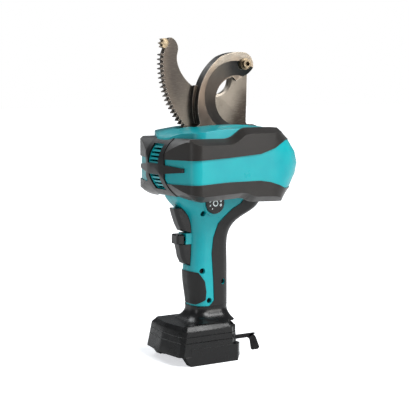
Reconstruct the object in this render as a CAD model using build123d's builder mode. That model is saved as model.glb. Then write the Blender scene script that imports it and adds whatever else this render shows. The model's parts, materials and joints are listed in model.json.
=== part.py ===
from build123d import *
import math
import os

# Cordless cable cutter with a toothed sickle blade.
# Frame: +Z up, the tool faces -Y, its left side is +X, millimetres.
# Origin: centre of the underside of the battery foot, on the tool's mid-plane.

os.makedirs("parts", exist_ok=True)

# ---------------------------------------------------------------- driving dimensions
HINGE = (52.0, 327.0)                  # Y and Z of the moving blade's axis
HINGE_BORE = 6.0
MODULE = 1.6                           # tooth module of the blade and its gears
BLADE_TEETH = 122                      # teeth in a full turn of the blade's pitch circle
PINION_TEETH = 14
SIDE_TEETH = 20                        # gear beside the pinion, on the same shaft
DRIVE_TEETH = 18                       # gear on the gearbox output shaft
TOOTH_DEPTH = 3.8
FIRST_TOOTH = 174.5                    # angle of the last tooth at the blade's tail, degrees
TOOTH_COUNT = 42
MESH_TOOTH = 32                        # tooth that sits on the pinion at rest
DRIVE_ANGLE = 195.0                    # direction from the pinion shaft to the drive shaft

BLADE_X = (-9.0, -1.0)                 # far and near face of the moving blade
JAW_X = (-0.7, 11.3)                   # far and near face of the fixed jaw
SIDE_GEAR_X = (-21.0, -14.0)
FAR_PLATE_X = (-28.0, -24.0)
NEAR_PLATE_X = (11.3, 15.3)
SHAFT_RADIUS = 5.0
BEARING_RADIUS = 8.0
RUNNING_GAP = 0.05

BORE_CENTRE = (47.5, 288.0)            # cable opening of the fixed jaw
BORE_RADIUS = 27.0
JAW_CENTRE = (47.0, 287.0)
JAW_RADIUS = 54.0

HEAD_HALF = 63.0                       # half width of the head
SHOULDER_HALF = 53.0                   # half width where the bumper's chamfer starts
CHAMFER_DROP = 6.5
BUMPER_THICK = 2.6
SHELL_WALL = 2.8
BAND_RECESS = 1.2                      # the teal band sits this far under the bumpers
BLADE_SLOT_X = (-12.5, 0.4)            # slot for the blade through the cover and the head's rear
JAW_SLOT = (12.0, -13.0, 47.0)         # near side, front and rear of the jaw's opening in the cover

GRIP_WALL = 2.6
RUBBER_PROUD = 0.9

FOOT_HALF = 40.0
FOOT_FRONT = -33.0
FOOT_REAR = 33.0
FOOT_SEAM_Z = 19.0                     # seam between the foot's cap and its rail base
BATTERY_SLOT_HALF = 30.0
BATTERY_SLOT_HEIGHT = 11.0
RAIL_LIP = (3.5, 4.0)                  # how far the rail reaches in, and its height

UPPER_TRIGGER_Z = (142.0, 169.5)
LOCK_Z = (130.0, 140.5)
LOWER_TRIGGER_Z = (105.5, 129.0)

DIAL_CENTRE = (6.0, 175.0)             # Y and Z of the speed dial
DIAL_RADIUS = 11.5

UPRIGHT = (Align.CENTER, Align.CENTER, Align.MIN)


def finish(builder, name):
    """Label a finished piece and write its file."""
    builder.part.label = name
    export_step(builder.part, f"parts/{name}.step")


def polar(centre, radius, angle):
    """The point at a radius and an angle, in degrees, from a centre."""
    turn = math.radians(angle)
    return (centre[0] + radius * math.cos(turn), centre[1] + radius * math.sin(turn))


# ---------------------------------------------------------------- gears and the blade
PITCH = 360 / BLADE_TEETH


def pitch_radius(teeth):
    return MODULE * teeth / 2


BLADE_RADIUS = pitch_radius(BLADE_TEETH)
ROOT_RADIUS = BLADE_RADIUS + MODULE - TOOTH_DEPTH
MESH_ANGLE = FIRST_TOOTH + MESH_TOOTH * PITCH
PINION_SHAFT = polar(HINGE, BLADE_RADIUS + pitch_radius(PINION_TEETH), MESH_ANGLE)
DRIVE_SHAFT = polar(PINION_SHAFT, pitch_radius(SIDE_TEETH) + pitch_radius(DRIVE_TEETH), DRIVE_ANGLE)


def tooth(radius):
    """The outline of one straight-sided tooth that points along the sketch's X axis."""
    root = radius + MODULE - TOOTH_DEPTH
    tip = radius + MODULE - 0.1
    with BuildSketch(mode=Mode.PRIVATE) as outline:
        with BuildLine():
            Polyline((root - 0.6, -1.4), (root, -1.4), (radius, -0.95), (tip, -0.45),
                     (tip, 0.45), (radius, 0.95), (root, 1.4), (root - 0.6, 1.4), close=True)
        make_face()
    return outline.sketch


def gear(teeth, tooth_angle, centre, x_span):
    """A spur gear about an X axis, with one tooth pointing at tooth_angle."""
    outline = tooth(pitch_radius(teeth))
    with BuildPart() as blank:
        with BuildSketch(Plane.YZ.offset(x_span[0])):
            with Locations(centre):
                Circle(pitch_radius(teeth) + MODULE - TOOTH_DEPTH)
            with Locations(centre):
                with PolarLocations(0, teeth, start_angle=tooth_angle):
                    add(outline)
        extrude(amount=x_span[1] - x_span[0])
    return blank.part


def rod(x_span, radius, centre, bore=0.0):
    """A cylinder about an X axis through centre, added to the current part."""
    with BuildSketch(Plane.YZ.offset(x_span[0])) as section:
        with Locations(centre):
            Circle(radius)
            if bore:
                Circle(bore, mode=Mode.SUBTRACT)
    extrude(section.sketch, amount=x_span[1] - x_span[0])


def bore(x_span, radius, centre):
    """A round hole about an X axis through the current part."""
    with BuildSketch(Plane.YZ.offset(x_span[0])) as section:
        with Locations(centre):
            Circle(radius)
    extrude(section.sketch, amount=x_span[1] - x_span[0], mode=Mode.SUBTRACT)


# Moving blade: the tail carries the teeth up in front, the belly is ground to a cutting edge.
TAIL_TIP = polar(HINGE, ROOT_RADIUS, FIRST_TOOTH - 1.2)
HEEL = polar(HINGE, ROOT_RADIUS, FIRST_TOOTH + (TOOTH_COUNT - 0.4) * PITCH)
ARC_MIDDLE = polar(HINGE, ROOT_RADIUS, (FIRST_TOOTH + TOOTH_COUNT * PITCH / 2))
BLADE_TOOTH = tooth(BLADE_RADIUS)
BLADE_EYE = 12.3
BELLY_CENTRE = (23.6, 311.3)
BELLY_RADIUS = 17.9
GRIND_WIDTH = 3.6
GRIND_DEPTH = 2.2
with BuildPart() as moving_blade:
    with BuildSketch(Plane.YZ.offset(BLADE_X[0])):
        with BuildLine():
            ThreePointArc(TAIL_TIP, ARC_MIDDLE, HEEL)
            Polyline(HEEL, (70, 250), (62.8, 262), (HINGE[0] + BLADE_EYE, HINGE[1]))
            ThreePointArc((HINGE[0] + BLADE_EYE, HINGE[1]), (HINGE[0], HINGE[1] + BLADE_EYE),
                          (HINGE[0] - BLADE_EYE, HINGE[1]))
            Polyline((HINGE[0] - BLADE_EYE, HINGE[1]), (41.5, 312))
            ThreePointArc((41.5, 312), (38, 300), (26, 293.6))
            Spline((26, 293.6), (8, 295.5), (-8, 303.2), (-19.6, 314.5), (-25.5, 326), (-26.5, 335),
                   (-25, 343.5), (-28.5, 351.5), (-33.5, 354.8))
            Polyline((-33.5, 354.8), (-37.8, 353.2))
            ThreePointArc((-37.8, 353.2), (-36.6, 348), (-40.8, 343))
            Polyline((-40.8, 343), TAIL_TIP)
        make_face()
        with Locations(HINGE):
            with PolarLocations(0, TOOTH_COUNT, start_angle=FIRST_TOOTH, angular_range=TOOTH_COUNT * PITCH):
                add(BLADE_TOOTH)
    extrude(amount=BLADE_X[1] - BLADE_X[0])
    bore(BLADE_X, HINGE_BORE + RUNNING_GAP, HINGE)
    # The belly is ground back from the near face to the cutting edge.
    with BuildSketch(Plane.YZ.offset(BLADE_X[1])):
        with Locations(BELLY_CENTRE):
            Circle(BELLY_RADIUS + GRIND_WIDTH)
    with BuildSketch(Plane.YZ.offset(BLADE_X[1] - GRIND_DEPTH)):
        with Locations(BELLY_CENTRE):
            Circle(BELLY_RADIUS)
    loft(mode=Mode.SUBTRACT)
finish(moving_blade, "moving_blade")

# Hardened key in the tail's notch, with two stop teeth of its own.
with BuildPart() as tail_key:
    with BuildSketch(Plane.YZ.offset(BLADE_X[0] + 0.6)) as key_plan:
        with BuildLine():
            Polyline((-36, 351), (-39.4, 354), (-44.6, 353.4), (-42.6, 350.8), (-46.6, 348.8), (-43.4, 346.8),
                     (-45.4, 344.4), (-41.4, 343.2), (-36, 345), close=True)
        make_face()
    extrude(key_plan.sketch, amount=BLADE_X[1] - BLADE_X[0] - 1.2)
    add(moving_blade.part, mode=Mode.SUBTRACT)
finish(tail_key, "tail_key")

STUD_RADIUS = 3.0
JAW_STUDS = [(-6.0, 244.0), (38.0, 244.0)]

# Fixed jaw: a thick forged hook, dished towards the shear edge, with the hinge eye at its end.
JAW_SHOULDER = polar(JAW_CENTRE, JAW_RADIUS, 118)
with BuildPart() as fixed_jaw:
    with BuildSketch(Plane.YZ.offset(JAW_X[0])):
        with BuildLine():
            ThreePointArc((-4.5, 262), polar(JAW_CENTRE, JAW_RADIUS, 178), JAW_SHOULDER)
            ThreePointArc(JAW_SHOULDER, polar(JAW_CENTRE, JAW_RADIUS - 0.6, 100), (50, 340.2))
            ThreePointArc((50, 340.2), (64.2, 328.2), (59.6, 315))
            Polyline((59.6, 315), (47.5, 308.6), (43.5, 312.6))
            ThreePointArc((43.5, 312.6), (BORE_CENTRE[0] - BORE_RADIUS, BORE_CENTRE[1]), (39, 261))
            Polyline((39, 261), (46, 256), (46, 236), (-12, 236), (-12, 256), (-4.5, 262))
        make_face()
    extrude(amount=JAW_X[1] - JAW_X[0])
    # Flange that guides the tail where it leaves the head.
    with BuildSketch(Plane.YZ.offset(JAW_X[0])):
        with BuildLine():
            Polyline((-4.5, 262), (-7.5, 262))
            ThreePointArc((-7.5, 262), (-10.4, 285), (-7.2, 303.5))
            Polyline((-7.2, 303.5), (2, 303.5), (2, 262), (-4.5, 262))
        make_face()
    extrude(amount=5)
    # Conical dish from the near face down to the shear edge.
    with BuildSketch(Plane.YZ.offset(JAW_X[1])):
        with Locations((40.5, 291)):
            Circle(39.5)
    with BuildSketch(Plane.YZ.offset(JAW_X[0] + 3)):
        with Locations(BORE_CENTRE):
            Circle(BORE_RADIUS - 0.3)
    loft(mode=Mode.SUBTRACT)
    bore(JAW_X, HINGE_BORE, HINGE)
    for centre in JAW_STUDS:
        bore(JAW_X, STUD_RADIUS, centre)
finish(fixed_jaw, "fixed_jaw")

with BuildPart() as hinge_bolt:
    rod((BLADE_X[0] - 7, JAW_X[1] + 4), HINGE_BORE - RUNNING_GAP / 2, HINGE)
    rod((JAW_X[1], JAW_X[1] + 7.5), 4.8, HINGE)
    rod((JAW_X[1], JAW_X[1] + 3), 6.4, HINGE)
    with BuildSketch(Plane.YZ.offset(JAW_X[1] + 7.5)):
        with Locations(HINGE):
            RegularPolygon(2.9, 6)
    extrude(amount=-4, mode=Mode.SUBTRACT)
finish(hinge_bolt, "hinge_bolt")

with BuildPart() as hinge_nut:
    with BuildSketch(Plane.YZ.offset(BLADE_X[0] - 6.5)):
        with Locations(HINGE):
            RegularPolygon(9.5, 6)
    extrude(amount=5)
    rod((BLADE_X[0] - 1.5, BLADE_X[0] - 0.3), 10.5, HINGE)
    bore((BLADE_X[0] - 8, BLADE_X[0]), HINGE_BORE - RUNNING_GAP / 2, HINGE)
finish(hinge_nut, "hinge_nut")

# ---------------------------------------------------------------- gear train
SIDE_TOOTH_ANGLE = DRIVE_ANGLE
PINION_TOOTH_ANGLE = MESH_ANGLE + 180 + 180 / PINION_TEETH
DRIVE_TOOTH_ANGLE = DRIVE_ANGLE + 180 + 180 / DRIVE_TEETH
PINION_GEAR = gear(PINION_TEETH, PINION_TOOTH_ANGLE, PINION_SHAFT, (BLADE_X[0] + 0.2, BLADE_X[1] - 0.1))
SIDE_GEAR = gear(SIDE_TEETH, SIDE_TOOTH_ANGLE, PINION_SHAFT, SIDE_GEAR_X)
DRIVE_GEAR = gear(DRIVE_TEETH, DRIVE_TOOTH_ANGLE, DRIVE_SHAFT, SIDE_GEAR_X)
SHAFT_X = (FAR_PLATE_X[0] + 0.5, NEAR_PLATE_X[1] - 0.5)

with BuildPart() as pinion_shaft:
    add(PINION_GEAR)
    add(SIDE_GEAR)
    rod(SHAFT_X, SHAFT_RADIUS, PINION_SHAFT)
finish(pinion_shaft, "pinion_shaft")

with BuildPart() as drive_shaft:
    add(DRIVE_GEAR)
    rod((SHAFT_X[0], 21.0), SHAFT_RADIUS, DRIVE_SHAFT)
finish(drive_shaft, "drive_shaft")

with BuildPart() as shaft_bearings:
    for span in (FAR_PLATE_X, NEAR_PLATE_X):
        for centre in (PINION_SHAFT, DRIVE_SHAFT):
            rod(span, BEARING_RADIUS, centre, SHAFT_RADIUS + RUNNING_GAP)
finish(shaft_bearings, "shaft_bearings")

# Steel plates that carry the shafts, the jaw and the gearbox.
LOW_STUDS = [(-8.0, 202.0), (70.0, 204.0)]
for name, span in (("far_plate", FAR_PLATE_X), ("near_plate", NEAR_PLATE_X)):
    with BuildPart() as plate:
        with BuildSketch(Plane.YZ.offset(span[0])) as plate_plan:
            with BuildLine():
                Polyline((-18, 244), (-12, 251), (48, 251), (76, 236), (76, 198), (72, 194), (-8, 194),
                         (-18, 202), close=True)
            make_face()
        extrude(plate_plan.sketch, amount=span[1] - span[0])
        for centre in (PINION_SHAFT, DRIVE_SHAFT):
            bore(span, BEARING_RADIUS, centre)
        for centre in JAW_STUDS + LOW_STUDS:
            bore(span, STUD_RADIUS, centre)
    finish(plate, name)

with BuildPart() as plate_studs:
    for centre in JAW_STUDS:
        rod((FAR_PLATE_X[0] - 2, FAR_PLATE_X[1] + 2), STUD_RADIUS, centre)
        rod((JAW_X[0] + 1, NEAR_PLATE_X[1] + 2), STUD_RADIUS, centre)
    for centre in LOW_STUDS:
        rod((FAR_PLATE_X[0] - 2, NEAR_PLATE_X[1] + 2), STUD_RADIUS, centre)
finish(plate_studs, "plate_studs")

# ---------------------------------------------------------------- motor and gearbox
GEARBOX_X = (15.3, 31.0)
MOTOR_X = (31.0, 50.0)
MOTOR_RADIUS = 20.0
ROTOR_SHAFT_RADIUS = 2.5
ROTOR_RADIUS = 13.5
with BuildPart() as gearbox:
    rod(GEARBOX_X, MOTOR_RADIUS - 1, DRIVE_SHAFT)
    bore((GEARBOX_X[0], 22), SHAFT_RADIUS + RUNNING_GAP, DRIVE_SHAFT)
    bore((24, GEARBOX_X[1]), ROTOR_SHAFT_RADIUS + RUNNING_GAP, DRIVE_SHAFT)
finish(gearbox, "gearbox")

with BuildPart() as motor_can:
    rod(MOTOR_X, MOTOR_RADIUS, DRIVE_SHAFT, ROTOR_RADIUS + 0.6)
    rod((MOTOR_X[1] - 2.5, MOTOR_X[1]), ROTOR_RADIUS + 1, DRIVE_SHAFT, ROTOR_SHAFT_RADIUS + RUNNING_GAP)
finish(motor_can, "motor_can")

with BuildPart() as motor_rotor:
    rod((24.5, MOTOR_X[1] + 4), ROTOR_SHAFT_RADIUS, DRIVE_SHAFT)
    rod((MOTOR_X[0] + 2, MOTOR_X[1] - 4.5), ROTOR_RADIUS, DRIVE_SHAFT)
    rod((MOTOR_X[1] + 0.6, MOTOR_X[1] + 1.6), ROTOR_RADIUS, DRIVE_SHAFT)
    with BuildSketch(Plane.YZ.offset(MOTOR_X[1] + 1.6)) as fan_blades:
        with Locations(DRIVE_SHAFT):
            with PolarLocations(8, 9):
                Rectangle(8, 1.2, rotation=25)
    extrude(fan_blades.sketch, amount=3)
finish(motor_rotor, "motor_rotor")

# ---------------------------------------------------------------- head shapes
# Each point is Y, Z and how far it moves in (Y, Z) for each millimetre of inset.
NOSE = [(-28, 180, 0.4, 1), (-43, 188, 0.8, 0.6), (-57.4, 217, 1, 0), (-50.5, 238, 1, -0.4),
        (-41, 247, 0.6, -1)]
TOP_STEP = [(-2, 247, 0, -1), (9, 249, 0, -1), (19, 255.5, 0, -1), (32, 258.4, 0, -1)]
REAR = [(54, 258.4, -0.1, -1), (86, 254, -0.3, -0.9), (112, 240, -0.7, -0.7), (124, 217, -1, 0),
        (112, 191, -0.7, 0.7), (92, 180, -0.3, 0.9), (66, 176.5, -0.1, 1)]
REAR_REACH = [(170, 82), (180, 92), (192, 106), (205, 115), (217, 118.3), (230, 114.5), (243, 103), (253, 88),
              (264, 66)]                # height, and how far the round rear end reaches there
BOTTOM_STEP = [(38, 177.5, 0, 1), (28, 180.5, 0, 1), (18, 182.5, 0, 1)]
NOSE_HALF = 14.0
REAR_START_Y = 56.0
COVER_INSET = 12.0                     # the top cover stands this far inside the head's outline
COVER_BASE_Z = 236.0
COVER_REACH = 100.0                    # rear reach of the outline that the cover stands inside
BELLY_REACH = 92.0                     # the same for the panel round the neck
CREST_HALF = 27.0                      # half width of the cover's level middle
CREST_DROP = 3.0
COVER_TOP = [(-45.4, 246, 1, -0.2), (-41, 250.5, 0.8, -0.8), (-33, 254.6, 0.4, -1), (-20, 257.4, 0.1, -1),
             (4, 259.6, 0, -1), (28, 260.2, 0, -1), (52, 259.4, 0, -1), (70, 257, -0.2, -1),
             (80, 254.8, -0.3, -1), (88, 252, -0.9, -0.8)]


def moved(points, inset, drop):
    """Outline points moved inwards by inset, and further up or down by drop."""
    return [(y + inset * dy, z + (inset + drop) * dz) for y, z, dy, dz in points]


def side_outline(inset, drop):
    """The head from the side: domed nose, raised rear half, round rear end."""
    nose, top, rear, bottom = (moved(run, inset, drop) for run in (NOSE, TOP_STEP, REAR, BOTTOM_STEP))
    with BuildSketch(mode=Mode.PRIVATE) as outline:
        with BuildLine():
            Spline(*nose)
            Line(nose[-1], top[0])
            Spline(*top, tangents=((1, 0), (1, 0)))
            Line(top[-1], rear[0])
            Spline(*rear, tangents=((1, 0), (-1, 0)))
            Line(rear[-1], bottom[0])
            Spline(*bottom, tangents=((-1, 0), (-1, 0)))
            Line(bottom[-1], nose[0])
        make_face()
    return outline.sketch


def plan_outline(inset, reach=118.3):
    """The head from above: blunt nose, flat sides, round rear end that reaches to the given Y."""
    half = HEAD_HALF - inset
    with BuildSketch(mode=Mode.PRIVATE) as outline:
        with BuildLine() as edge:
            ThreePointArc((0, -57.5 + inset), (NOSE_HALF / 2, -57.3 + inset), (NOSE_HALF, -56.5 + inset))
            Line((NOSE_HALF, -56.5 + inset), (half - 11, -45 + inset))
            ThreePointArc((half - 11, -45 + inset), (half - 3.2, -40 + inset), (half, -32 + inset))
            Line((half, -32 + inset), (half, REAR_START_Y))
            Spline((half, REAR_START_Y), (half * 0.79, REAR_START_Y + (reach - inset - REAR_START_Y) * 0.64),
                   (0, reach - inset), tangents=((0, 1), (-1, 0)))
            mirror(edge.line, about=Plane.YZ)
        make_face()
    return outline.sketch


def head_column(inset):
    """A tall column with the head's plan, whose rear end is domed."""
    with BuildPart() as column:
        levels = [on_plane(plan_outline(inset, reach), Plane.XY.offset(z)) for z, reach in REAR_REACH]
        loft(levels, ruled=True)
    return column.part


def on_plane(sketch, plane):
    """A flat outline drawn in XY, placed on another plane."""
    return plane * sketch


def head_form(inset):
    """The closed outer shape of the head, inset all round."""
    full = side_outline(inset, 0)
    shoulder = SHOULDER_HALF - inset
    with BuildPart() as form:
        extrude(on_plane(full, Plane.YZ.offset(-shoulder)), amount=2 * shoulder)
        for side in (1, -1):
            inner = on_plane(full, Plane.YZ.offset(side * shoulder))
            outer = on_plane(side_outline(inset, CHAMFER_DROP), Plane.YZ.offset(side * (HEAD_HALF - inset)))
            loft([inner, outer], ruled=True)
        add(head_column(inset), mode=Mode.INTERSECT)
    return form.part


def prism_x(points, half=80.0):
    """A closed outline in Y and Z, extruded both ways along X."""
    with BuildPart() as prism:
        with BuildSketch(Plane.YZ) as section:
            with BuildLine():
                Polyline(*points, close=True)
            make_face()
        extrude(section.sketch, amount=half, both=True)
    return prism.part


def block(x_span, y_span, z_span):
    """A plain box between the given limits."""
    spans = (x_span, y_span, z_span)
    with BuildPart() as box:
        with Locations(tuple((low + high) / 2 for low, high in spans)):
            Box(*(high - low for low, high in spans))
    return box.part


def cylinder_x(x_span, radius, centre):
    """A cylinder about an X axis."""
    with BuildPart() as solid:
        rod(x_span, radius, centre)
    return solid.part


def plan_prism(inset, z_span, reach):
    """The head's plan outline, inset and extruded between two heights."""
    base = on_plane(plan_outline(inset, reach), Plane.XY.offset(z_span[0]))
    with BuildPart() as prism:
        extrude(base, amount=z_span[1] - z_span[0])
    return prism.part


def cover_outline(inset, drop):
    """The top cover from the side."""
    top = moved(COVER_TOP, inset, drop)
    with BuildSketch(mode=Mode.PRIVATE) as outline:
        with BuildLine():
            Spline(*top)
            Polyline(top[-1], (top[-1][0], COVER_BASE_Z - inset), (top[0][0], COVER_BASE_Z - inset), top[0])
        make_face()
    return outline.sketch


def cover_form(inset):
    """The closed outer shape of the top cover."""
    half = HEAD_HALF - COVER_INSET - inset
    with BuildPart() as form:
        extrude(on_plane(cover_outline(inset, 0), Plane.YZ.offset(-CREST_HALF)), amount=2 * CREST_HALF)
        for side in (1, -1):
            inner = on_plane(cover_outline(inset, 0), Plane.YZ.offset(side * CREST_HALF))
            outer = on_plane(cover_outline(inset, CREST_DROP), Plane.YZ.offset(side * half))
            loft([inner, outer], ruled=True)
        add(plan_prism(COVER_INSET + inset, (COVER_BASE_Z - inset, 270), COVER_REACH), mode=Mode.INTERSECT)
    return form.part


# Grip sections: height, centre in Y, half width in X, half depth in Y.
GRIP_SECTIONS = [(44, 10, 18, 21.5), (58, 9.5, 18, 22), (74, 8.6, 18, 23), (90, 7.5, 18, 24),
                 (110, 7.5, 18, 23.8), (130, 8, 18, 23.2), (140, 9.2, 18, 24), (150, 12, 18.6, 27.5),
                 (160, 18, 20.8, 36), (171, 21, 23.6, 48), (186, 21, 26, 55)]
GRIP_CORNER = 15.0


def grip_form(inset, top=186.0, bottom=44.0):
    """The closed outer shape of the grip and neck, inset all round."""
    with BuildPart() as form:
        for z, centre, half_x, half_y in GRIP_SECTIONS:
            with BuildSketch(Plane.XY.offset(min(max(z, bottom), top))):
                with Locations((0, centre)):
                    RectangleRounded(2 * (half_x - inset), 2 * (half_y - inset), GRIP_CORNER - inset)
        loft()
    return form.part


HEAD_OUTER = head_form(0)
HEAD_UNDER = head_form(BUMPER_THICK)
HEAD_BAND = head_form(BAND_RECESS)
HEAD_INNER = head_form(BUMPER_THICK + SHELL_WALL)
HEAD_PROUD = head_form(-0.8)
GRIP_OUTER = grip_form(0)
GRIP_INNER = grip_form(GRIP_WALL, 190, 40)
GRIP_SKIN = grip_form(-RUBBER_PROUD) - GRIP_OUTER
COVER_SPACE = plan_prism(COVER_INSET, (COVER_BASE_Z, 275), COVER_REACH)
BLADE_SPACE = cylinder_x(BLADE_SLOT_X, 104.5, HINGE)

# ---------------------------------------------------------------- bumpers and nose
UPPER_BAND = [(-80, 224), (-36, 225), (2, 227), (41, 230), (54, 234), (60, 236), (67, 240), (76, 244),
              (130, 245), (130, 280), (-80, 280)]
LOWER_BAND = [(-80, 198), (-36, 199), (2, 201), (41, 201), (54, 199), (67, 195), (76, 191), (130, 190),
              (130, 160), (-80, 160)]
FRAME_HALF = 20.0
FRAME_Z = (184.0, 247.5)
WINDOW_HALF = 11.5
UPPER_WINDOW_Z = (220.0, 241.0)
LOWER_WINDOW_Z = (191.0, 208.0)
BAR_Z = 214.0
BAR_END = 47.0

with BuildPart() as nose_prism:
    with BuildSketch(Plane.XZ.offset(34)) as nose_plan:
        with BuildLine():
            Polyline((-FRAME_HALF, FRAME_Z[0]), (FRAME_HALF, FRAME_Z[0]), (FRAME_HALF, BAR_Z - 4.6),
                     (BAR_END, BAR_Z - 2.2), (BAR_END, BAR_Z + 2.2), (FRAME_HALF, BAR_Z + 4.6),
                     (FRAME_HALF, FRAME_Z[1]), (-FRAME_HALF, FRAME_Z[1]), (-FRAME_HALF, BAR_Z + 4.6),
                     (-BAR_END, BAR_Z + 2.2), (-BAR_END, BAR_Z - 2.2), (-FRAME_HALF, BAR_Z - 4.6), close=True)
        make_face()
    extrude(nose_plan.sketch, amount=36)

with BuildPart() as nose_grille:
    add(HEAD_PROUD)
    add(HEAD_UNDER, mode=Mode.SUBTRACT)
    add(nose_prism.part, mode=Mode.INTERSECT)
    add(COVER_SPACE, mode=Mode.SUBTRACT)
    for z_span in (UPPER_WINDOW_Z, LOWER_WINDOW_Z):
        add(block((-WINDOW_HALF, WINDOW_HALF), (-80, -30), z_span), mode=Mode.SUBTRACT)
finish(nose_grille, "nose_grille")
NOSE_SPACE = nose_prism.part

for name, band in (("bumper_upper", UPPER_BAND), ("bumper_lower", LOWER_BAND)):
    with BuildPart() as bumper:
        add(HEAD_OUTER)
        add(HEAD_UNDER, mode=Mode.SUBTRACT)
        add(prism_x(band), mode=Mode.INTERSECT)
        add(NOSE_SPACE, mode=Mode.SUBTRACT)
        if name == "bumper_upper":
            add(COVER_SPACE, mode=Mode.SUBTRACT)
            add(BLADE_SPACE, mode=Mode.SUBTRACT)
            UPPER_BUMPER = bumper.part
        else:
            add(plan_prism(14, (160, 190), BELLY_REACH), mode=Mode.SUBTRACT)
            LOWER_BUMPER = bumper.part
    finish(bumper, name)

# ---------------------------------------------------------------- top cover
with BuildPart() as top_cover:
    add(cover_form(0))
    add(cover_form(SHELL_WALL), mode=Mode.SUBTRACT)
    add(BLADE_SPACE, mode=Mode.SUBTRACT)
    add(block((0, JAW_SLOT[0]), JAW_SLOT[1:], (230, 275)), mode=Mode.SUBTRACT)
finish(top_cover, "top_cover")

# ---------------------------------------------------------------- grip rubber and housing screws
RUBBER_REGION = [(48, 190), (48, 184), (40, 173), (29, 167), (14, 152), (8, 136), (6, 119), (8, 90), (9, 66),
                 (2, 59), (-30, 58), (-30, 30), (90, 30), (90, 190)]
PAD_REGION = [(-40, 101), (-30, 101), (-10, 98), (-3, 88), (-1, 76), (-2, 67), (-11, 62), (-40, 62)]
TRIGGER_GAP = 0.4
TRIGGER_HALF = 8.0
TRIGGER_TRAVEL = 6.0
WELL_RADIUS = DIAL_RADIUS + 2.2
DIAL_X = (15.0, 26.4)
DIAL_SHAFT_RADIUS = 3.0
SCREW_RADIUS = 1.6
SCREW_HEAD_RADIUS = 3.0
BOSS_RADIUS = 4.4
SCREW_POINTS = [(-7.0, 164.0), (21.0, 86.0), (-5.5, 99.6), (62.0, 186.0), (3.0, 66.0)]
VENT_SLOT = 2.2
VENT_PITCH = 4.2
RELEASE_X = (-24.0, -15.0)
HOUSING_BOTTOM = 46.0

with BuildPart() as rubber_blank:
    add(GRIP_SKIN)
    add(prism_x(RUBBER_REGION), mode=Mode.INTERSECT)
    add(block((-70, 70), (-60, 90), (60, 200)), mode=Mode.INTERSECT)
    add(HEAD_OUTER, mode=Mode.SUBTRACT)
with BuildPart() as front_pad:
    add(GRIP_SKIN)
    add(prism_x(PAD_REGION), mode=Mode.INTERSECT)
    add(rubber_blank.part, mode=Mode.SUBTRACT)
finish(front_pad, "front_pad")

with BuildPart() as grip_rubber:
    add(rubber_blank.part)
    for centre in SCREW_POINTS:
        bore((0, 60), SCREW_HEAD_RADIUS + 0.2, centre)
finish(grip_rubber, "grip_rubber")

with BuildPart() as housing_screws:
    for centre in SCREW_POINTS:
        rod((-14, 12), SCREW_RADIUS, centre)
        rod((12, 14), SCREW_HEAD_RADIUS, centre)
        bore((12.8, 14), 1.2, centre)
finish(housing_screws, "housing_screws")

# ---------------------------------------------------------------- controls
TRIGGER_FLANGE = 10.3
SPRING_WIRE = 0.7
SPRING_RADIUS = 3.6
SWITCH_FRONT = 11.0


def trigger(name, profile, z_span, flange_y, notch=None):
    """A finger trigger: rounded front, a flange that keeps it in the housing, and room for a screw boss."""
    corner = 4.0
    with BuildPart() as lever:
        for y, z in profile:
            with BuildSketch(Plane.XY.offset(z)):
                with BuildLine() as edge:
                    Polyline((0, flange_y[1]), (TRIGGER_HALF, flange_y[1]), (TRIGGER_HALF, y + corner))
                    ThreePointArc((TRIGGER_HALF, y + corner), (TRIGGER_HALF - 1.2, y + 1.2),
                                  (TRIGGER_HALF - corner, y))
                    Line((TRIGGER_HALF - corner, y), (0, y))
                    mirror(edge.line, about=Plane.YZ)
                make_face()
        loft(ruled=True)
        add(block((-TRIGGER_FLANGE, TRIGGER_FLANGE), flange_y, (z_span[0] + 1, z_span[1] - 2)))
        with Locations(Plane.XZ.offset(-flange_y[1])):
            with Locations((0, (z_span[0] + z_span[1]) / 2)):
                Cylinder(SPRING_RADIUS + 1.2, 5, mode=Mode.SUBTRACT, align=UPRIGHT)
        if notch:
            add(block((-20, 20), (notch[0], 20), (notch[1], 200)), mode=Mode.SUBTRACT)
    finish(lever, name)


def spring(name, z_centre, y_span):
    """A coil spring along Y."""
    with BuildPart() as coil:
        with BuildLine() as path:
            Helix(pitch=2.2, height=y_span[1] - y_span[0], radius=SPRING_RADIUS,
                  center=(0, y_span[0], z_centre), direction=(0, 1, 0))
        with BuildSketch(Plane(origin=path.line @ 0, z_dir=path.line % 0)):
            Circle(SPRING_WIRE / 2)
        sweep()
    finish(coil, name)


# Front edge of each trigger: Y and Z, from its lower end up.
UPPER_TRIGGER_FRONT = [(-18, 142), (-25, 144.5), (-29, 152), (-32.5, 162), (-34.6, 169.5)]
LOWER_TRIGGER_FRONT = [(-17, 105.5), (-22, 108), (-25.5, 115), (-27, 123), (-28.5, 129)]
BOSS_NOTCH = (SCREW_POINTS[0][0] - BOSS_RADIUS - TRIGGER_TRAVEL - 0.5, SCREW_POINTS[0][1] - BOSS_RADIUS - 0.4)
trigger("upper_trigger", UPPER_TRIGGER_FRONT, UPPER_TRIGGER_Z, (-7, 2), BOSS_NOTCH)
trigger("lower_trigger", LOWER_TRIGGER_FRONT, LOWER_TRIGGER_Z, (-8.6, 0))
spring("upper_spring", 155.75, (-2.4, SWITCH_FRONT - 0.5))
spring("lower_spring", 117.25, (-4.4, SWITCH_FRONT - 0.5))

with BuildPart() as lock_button:
    add(block((-7.4, 7.4), (-31.5, -21.6), LOCK_Z))
    fillet(lock_button.edges().filter_by(Axis.Z), 2.5)
    chamfer(lock_button.faces().sort_by(Axis.Z)[-1].edges(), 1.2)
    add(block((-4, 4), (-22, -6), (LOCK_Z[0] + 3.2, LOCK_Z[1] - 3.2)))
finish(lock_button, "lock_button")

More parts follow.
